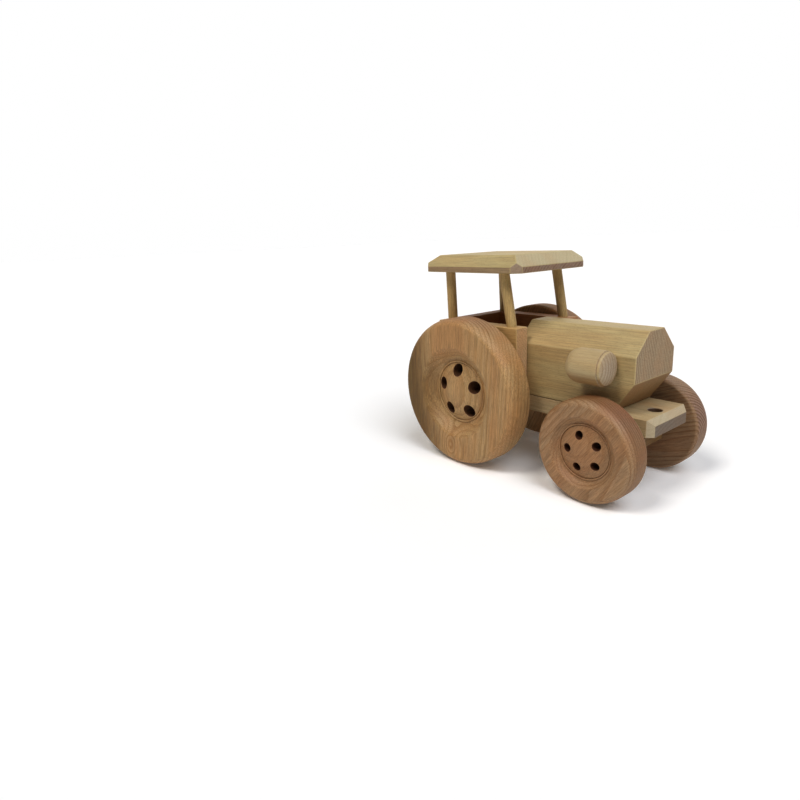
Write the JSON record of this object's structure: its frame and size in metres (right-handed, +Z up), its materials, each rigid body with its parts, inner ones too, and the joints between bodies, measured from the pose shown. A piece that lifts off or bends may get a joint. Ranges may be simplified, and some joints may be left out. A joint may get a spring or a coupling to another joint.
{
  "type": "toy tractor",
  "caption": "Wooden toy tractor: chamfered hood block, round side headlamps, open cab under a bevelled roof, and dished turned wheels on two dowel axles.",
  "frame": {"origin": "centre of the toy's footprint, on the floor that its wheels stand on", "axes": "+X forward, towards the nose; +Y to the tractor's left; +Z up"},
  "size_m": [0.225, 0.129, 0.1679],
  "materials": {
    "beech_board": "sanded, raw, matt",
    "beech_block": "sanded, raw, matt",
    "beech_wheel": "turned and lightly oiled, satin",
    "beech_dowel": "sanded, raw, matt",
    "washer_wood": "raw veneer, matt"
  },
  "bodies": {
    "tractor_body": {"chassis_board": "beech_board", "hood_block": "beech_block", "front_axle_block": "beech_block", "cab_wall_rear": "beech_board", "cab_wall_left": "beech_board", "cab_wall_right": "beech_board", "cab_floor_block": "beech_block", "roof_board": "beech_board", "roof_post_front_left": "beech_dowel", "roof_post_front_right": "beech_dowel", "roof_post_rear_left": "beech_dowel", "roof_post_rear_right": "beech_dowel", "headlamp_left": "beech_dowel", "headlamp_right": "beech_dowel", "headlamp_dowel_left": "beech_dowel", "headlamp_dowel_right": "beech_dowel", "hood_dowel_rear": "beech_dowel", "hood_dowel_front": "beech_dowel", "cab_floor_dowel_rear": "beech_dowel", "cab_floor_dowel_front": "beech_dowel", "axle_block_dowel_left": "beech_dowel", "axle_block_dowel_right": "beech_dowel"},
    "rear_wheel_set": {"rear_axle": "beech_dowel", "rear_wheel_left": "beech_wheel", "rear_wheel_right": "beech_wheel", "rear_washer_left": "washer_wood", "rear_washer_right": "washer_wood"},
    "front_wheel_set": {"front_axle": "beech_dowel", "front_wheel_left": "beech_wheel", "front_wheel_right": "beech_wheel", "front_washer_left": "washer_wood", "front_washer_right": "washer_wood"}
  },
  "joints": [
    {"name": "rear_axle_spin", "type": "hinge", "parent": "tractor_body", "child": "rear_wheel_set", "pos_m": [-0.0365, 0, 0.06], "axis": [0, 1, 0], "continuous": true},
    {"name": "front_axle_spin", "type": "hinge", "parent": "tractor_body", "child": "front_wheel_set", "pos_m": [0.0755, 0, 0.037], "axis": [0, 1, 0], "continuous": true}
  ]
}
